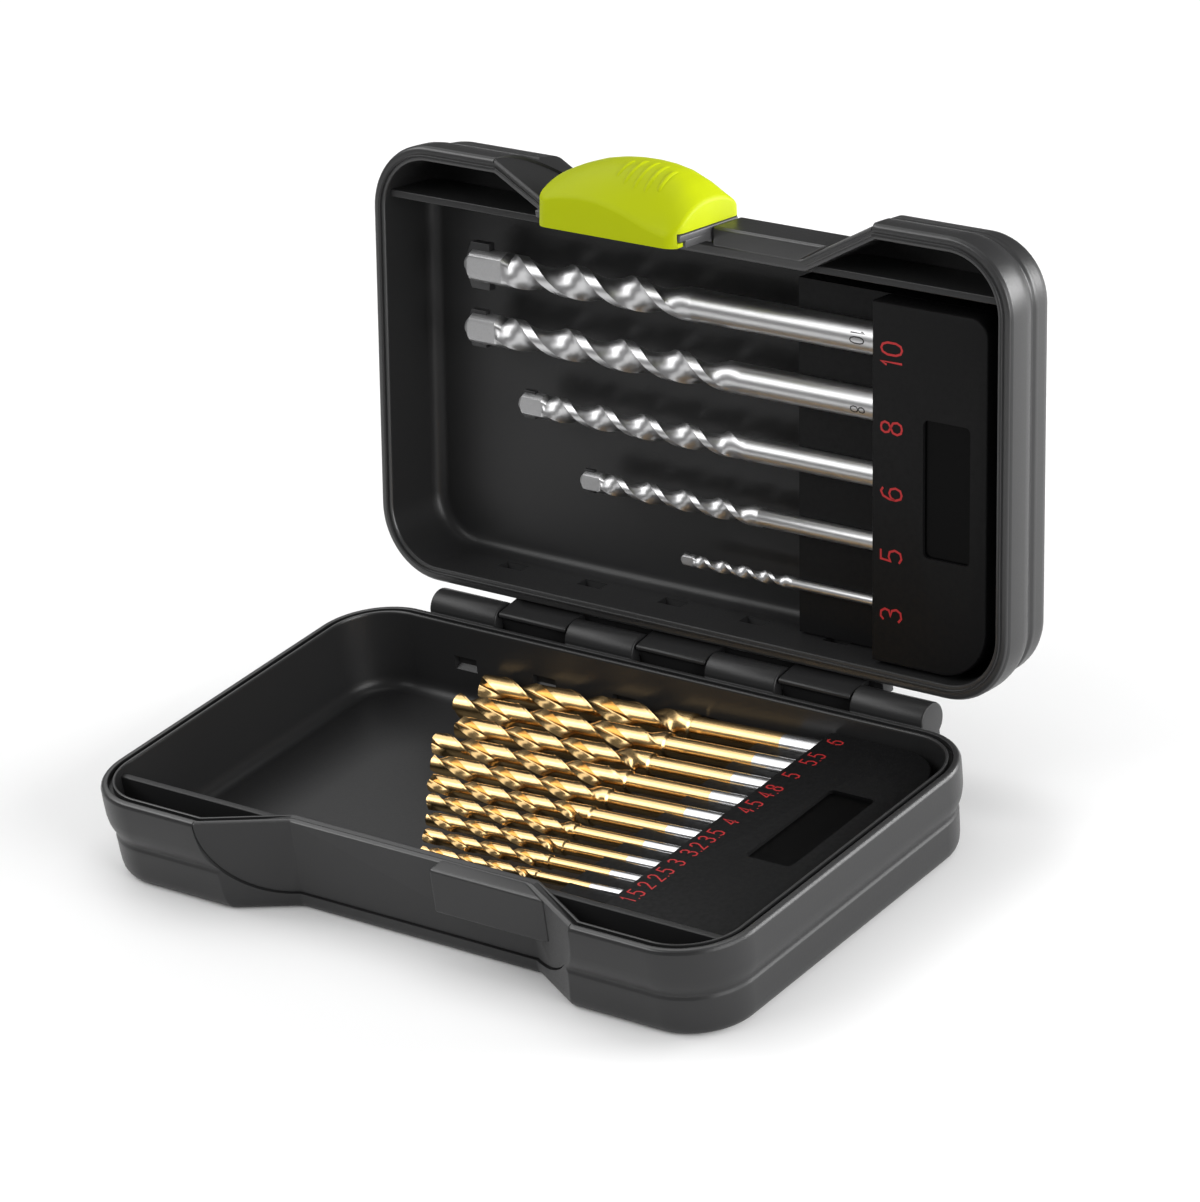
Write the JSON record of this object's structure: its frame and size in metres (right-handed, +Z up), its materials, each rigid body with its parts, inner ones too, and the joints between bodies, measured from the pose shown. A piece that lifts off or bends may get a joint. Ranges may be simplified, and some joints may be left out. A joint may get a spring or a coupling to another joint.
{
  "type": "drill bit case",
  "caption": "Hinged plastic case with a sliding latch, holding straight-shank twist bits in the base and masonry bits in the lid",
  "frame": {"origin": "centre of the flat underside of the base", "axes": "+X along the hinge to the end with the racks, +Y from the front to the hinge, +Z up; the lid stands open"},
  "size_m": [0.161, 0.1344, 0.1219],
  "materials": {
    "shell": "fine grained, charcoal",
    "rack": "satin, black",
    "latch_plastic": "satin, lime green",
    "coated_steel": "titanium nitride coat over steel, semi-gloss",
    "bit_steel": "ground and sand-blasted",
    "carbide": "sintered carbide with dark braze",
    "pin_steel": "drawn wire"
  },
  "bodies": {
    "base": {"base_shell": "shell", "base_rack": "rack", "base_rack_cover": "rack", "hinge_pin": "pin_steel"},
    "lid": {"lid_shell": "shell", "lid_rack": "rack", "lid_rack_cover": "rack", "latch_rail": "shell"},
    "latch": {"latch": "latch_plastic"},
    "bit_6_0": {"hss_bit_6_0": "coated_steel"},
    "bit_5_5": {"hss_bit_5_5": "coated_steel"},
    "bit_5_0": {"hss_bit_5_0": "coated_steel"},
    "bit_4_8": {"hss_bit_4_8": "coated_steel"},
    "bit_4_5": {"hss_bit_4_5": "coated_steel"},
    "bit_4_0": {"hss_bit_4_0": "coated_steel"},
    "bit_3_5": {"hss_bit_3_5": "coated_steel"},
    "bit_3_2": {"hss_bit_3_2": "coated_steel"},
    "bit_3_0": {"hss_bit_3_0": "coated_steel"},
    "bit_2_5": {"hss_bit_2_5": "coated_steel"},
    "masonry_10": {"masonry_bit_10": "bit_steel", "carbide_tip_10": "carbide"},
    "masonry_8": {"masonry_bit_8": "bit_steel", "carbide_tip_8": "carbide"},
    "masonry_6": {"masonry_bit_6": "bit_steel", "carbide_tip_6": "carbide"},
    "masonry_5": {"masonry_bit_5": "bit_steel", "carbide_tip_5": "carbide"},
    "masonry_3": {"masonry_bit_3": "bit_steel", "carbide_tip_3": "carbide"}
  },
  "joints": [
    {"name": "lid_hinge", "type": "hinge", "parent": "base", "child": "lid", "pos_m": [0, 0.052, 0.019], "axis": [1, 0, 0], "range_deg": [0, 100]},
    {"name": "latch_slide", "type": "slide", "parent": "lid", "child": "latch", "axis": [1, 0, 0], "range_m": [0, 0.0225]},
    {"name": "pull_6_0", "type": "slide", "parent": "base", "child": "bit_6_0", "axis": [-0.9988, 0, -0.0489], "range_m": [0, 0.012]},
    {"name": "pull_5_5", "type": "slide", "parent": "base", "child": "bit_5_5", "axis": [-0.9988, 0, -0.0489], "range_m": [0, 0.012]},
    {"name": "pull_5_0", "type": "slide", "parent": "base", "child": "bit_5_0", "axis": [-0.9988, 0, -0.0489], "range_m": [0, 0.012]},
    {"name": "pull_4_8", "type": "slide", "parent": "base", "child": "bit_4_8", "axis": [-0.9988, 0, -0.0489], "range_m": [0, 0.012]},
    {"name": "pull_4_5", "type": "slide", "parent": "base", "child": "bit_4_5", "axis": [-0.9988, 0, -0.0489], "range_m": [0, 0.012]},
    {"name": "pull_4_0", "type": "slide", "parent": "base", "child": "bit_4_0", "axis": [-0.9988, 0, -0.0489], "range_m": [0, 0.012]},
    {"name": "pull_3_5", "type": "slide", "parent": "base", "child": "bit_3_5", "axis": [-0.9988, 0, -0.0489], "range_m": [0, 0.012]},
    {"name": "pull_3_2", "type": "slide", "parent": "base", "child": "bit_3_2", "axis": [-0.9988, 0, -0.0489], "range_m": [0, 0.012]},
    {"name": "pull_3_0", "type": "slide", "parent": "base", "child": "bit_3_0", "axis": [-0.9988, 0, -0.0489], "range_m": [0, 0.012]},
    {"name": "pull_2_5", "type": "slide", "parent": "base", "child": "bit_2_5", "axis": [-0.9988, 0, -0.0489], "range_m": [0, 0.012]},
    {"name": "pull_masonry_10", "type": "slide", "parent": "lid", "child": "masonry_10", "axis": [-1, 0, 0], "range_m": [0, 0.012]},
    {"name": "pull_masonry_8", "type": "slide", "parent": "lid", "child": "masonry_8", "axis": [-1, 0, 0], "range_m": [0, 0.012]},
    {"name": "pull_masonry_6", "type": "slide", "parent": "lid", "child": "masonry_6", "axis": [-1, 0, 0], "range_m": [0, 0.012]},
    {"name": "pull_masonry_5", "type": "slide", "parent": "lid", "child": "masonry_5", "axis": [-1, 0, 0], "range_m": [0, 0.012]},
    {"name": "pull_masonry_3", "type": "slide", "parent": "lid", "child": "masonry_3", "axis": [-1, 0, 0], "range_m": [0, 0.012]}
  ]
}
